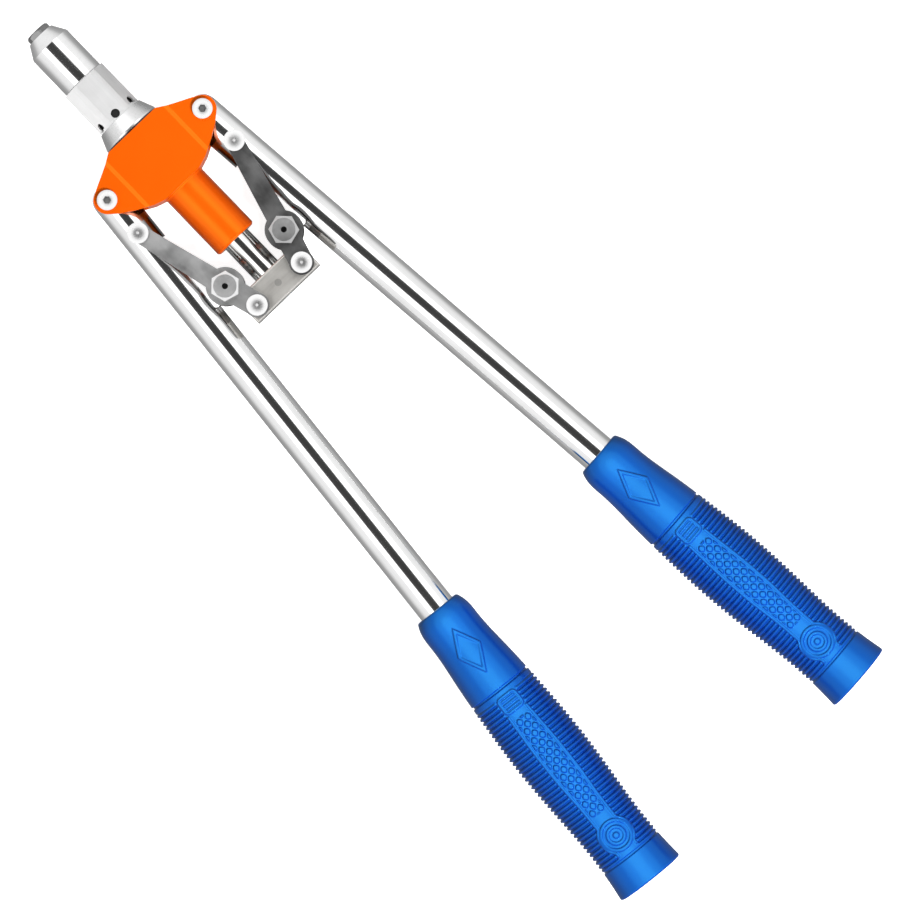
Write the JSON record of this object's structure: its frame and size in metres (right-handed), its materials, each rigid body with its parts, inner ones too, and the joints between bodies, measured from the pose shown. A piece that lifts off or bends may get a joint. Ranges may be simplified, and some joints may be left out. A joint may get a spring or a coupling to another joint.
{
  "type": "hand riveter",
  "caption": "Long-arm hand riveter: hollow nozzle and nose sleeve, T-shaped cast head, tubular arms with grips, and toggle links that drive a crosshead, pull tube and gripping jaws.",
  "frame": {"origin": "centre of the nozzle's front face", "axes": "+Y along the tool axis, out of the nozzle; +X across the arms; +Z out of the front face, square to the plane the arms swing in"},
  "size_m": [0.1498, 0.4294, 0.0312],
  "materials": {
    "orange_paint": "gloss enamel",
    "chrome_sleeve": "satin chrome",
    "adapter_satin": "satin plated",
    "nozzle_steel": "turned",
    "bush_bronze": "plain bearing bronze",
    "zinc_fastener": "zinc plated",
    "tool_steel": "hardened",
    "spring_steel": "drawn wire",
    "rod_chrome": "polished",
    "crosshead_steel": "machined satin",
    "arm_chrome": "polished",
    "blue_grip": "moulded, semi-gloss",
    "link_steel": "dark stamped plate"
  },
  "bodies": {
    "head": {"head_body": "orange_paint", "rod_guide_bush": "bush_bronze", "nose_sleeve": "chrome_sleeve", "nozzle": "nozzle_steel", "hex_adapter": "adapter_satin", "flange_collar": "adapter_satin", "arm_pivot_bolts": "zinc_fastener", "arm_pivot_nuts": "zinc_fastener"},
    "pull_rod": {"jaw_case": "tool_steel", "pull_tube": "rod_chrome", "crosshead": "crosshead_steel", "crosshead_dowels": "tool_steel", "crosshead_rivets": "zinc_fastener", "jaw_spring": "spring_steel"},
    "jaw_pusher": {"jaw_pusher": "tool_steel"},
    "jaw_upper": {"jaw_upper": "tool_steel"},
    "jaw_lower_left": {"jaw_lower_left": "tool_steel"},
    "jaw_lower_right": {"jaw_lower_right": "tool_steel"},
    "right_arm": {"right_arm_tube": "arm_chrome", "right_grip": "blue_grip"},
    "left_arm": {"left_arm_tube": "arm_chrome", "left_grip": "blue_grip"},
    "right_link": {"right_link_front_plate": "link_steel", "right_link_rear_plate": "link_steel", "right_link_arm_rivet": "zinc_fastener", "right_link_bolt": "zinc_fastener", "right_link_bolt_nut": "zinc_fastener", "right_link_spacer": "tool_steel"},
    "left_link": {"left_link_front_plate": "link_steel", "left_link_rear_plate": "link_steel", "left_link_arm_rivet": "zinc_fastener", "left_link_bolt": "zinc_fastener", "left_link_bolt_nut": "zinc_fastener", "left_link_spacer": "tool_steel"}
  },
  "joints": [
    {"name": "right_arm_swing", "type": "hinge", "parent": "head", "child": "right_arm", "pos_m": [0.0272, -0.0713, 0], "axis": [0, 0, 1], "range_deg": [0, 60]},
    {"name": "left_arm_swing", "type": "hinge", "parent": "head", "child": "left_arm", "pos_m": [-0.0272, -0.0713, 0], "axis": [0, 0, -1], "range_deg": [0, 60]},
    {"name": "right_link_swing", "type": "hinge", "parent": "right_arm", "child": "right_link", "pos_m": [0.0275, -0.0897, 0], "axis": [0, 0, -1], "range_deg": [0, 77.75]},
    {"name": "left_link_swing", "type": "hinge", "parent": "left_arm", "child": "left_link", "pos_m": [-0.0275, -0.0897, 0], "axis": [0, 0, 1], "range_deg": [0, 77.75]},
    {"name": "pull_rod_slide", "type": "slide", "parent": "head", "child": "pull_rod", "axis": [0, 1, 0], "range_m": [0, 0.01467]},
    {"name": "jaw_pusher_slide", "type": "slide", "parent": "pull_rod", "child": "jaw_pusher", "axis": [0, -1, 0], "range_m": [0, 0.0025], "stiffness_N_per_m": 600, "springref_m": -0.006, "deforming": ["jaw_spring"]},
    {"name": "jaw_upper_slide", "type": "slide", "parent": "pull_rod", "child": "jaw_upper", "axis": [0, -0.9848, 0.1736], "range_m": [0, 0.00255]},
    {"name": "jaw_lower_left_slide", "type": "slide", "parent": "pull_rod", "child": "jaw_lower_left", "axis": [-0.1504, -0.9848, -0.0868], "range_m": [0, 0.00255]},
    {"name": "jaw_lower_right_slide", "type": "slide", "parent": "pull_rod", "child": "jaw_lower_right", "axis": [0.1504, -0.9848, -0.0868], "range_m": [0, 0.00255]}
  ],
  "couplings": [
    {"joint": "left_arm_swing", "follows": "right_arm_swing", "ratio": 1},
    {"joint": "right_link_swing", "follows": "right_arm_swing", "ratio": 1.295},
    {"joint": "left_link_swing", "follows": "right_arm_swing", "ratio": 1.295},
    {"joint": "pull_rod_slide", "follows": "right_arm_swing", "m_per_rad": 0.014},
    {"joint": "jaw_upper_slide", "follows": "jaw_pusher_slide", "ratio": 1.0154},
    {"joint": "jaw_lower_left_slide", "follows": "jaw_pusher_slide", "ratio": 1.0154},
    {"joint": "jaw_lower_right_slide", "follows": "jaw_pusher_slide", "ratio": 1.0154}
  ]
}
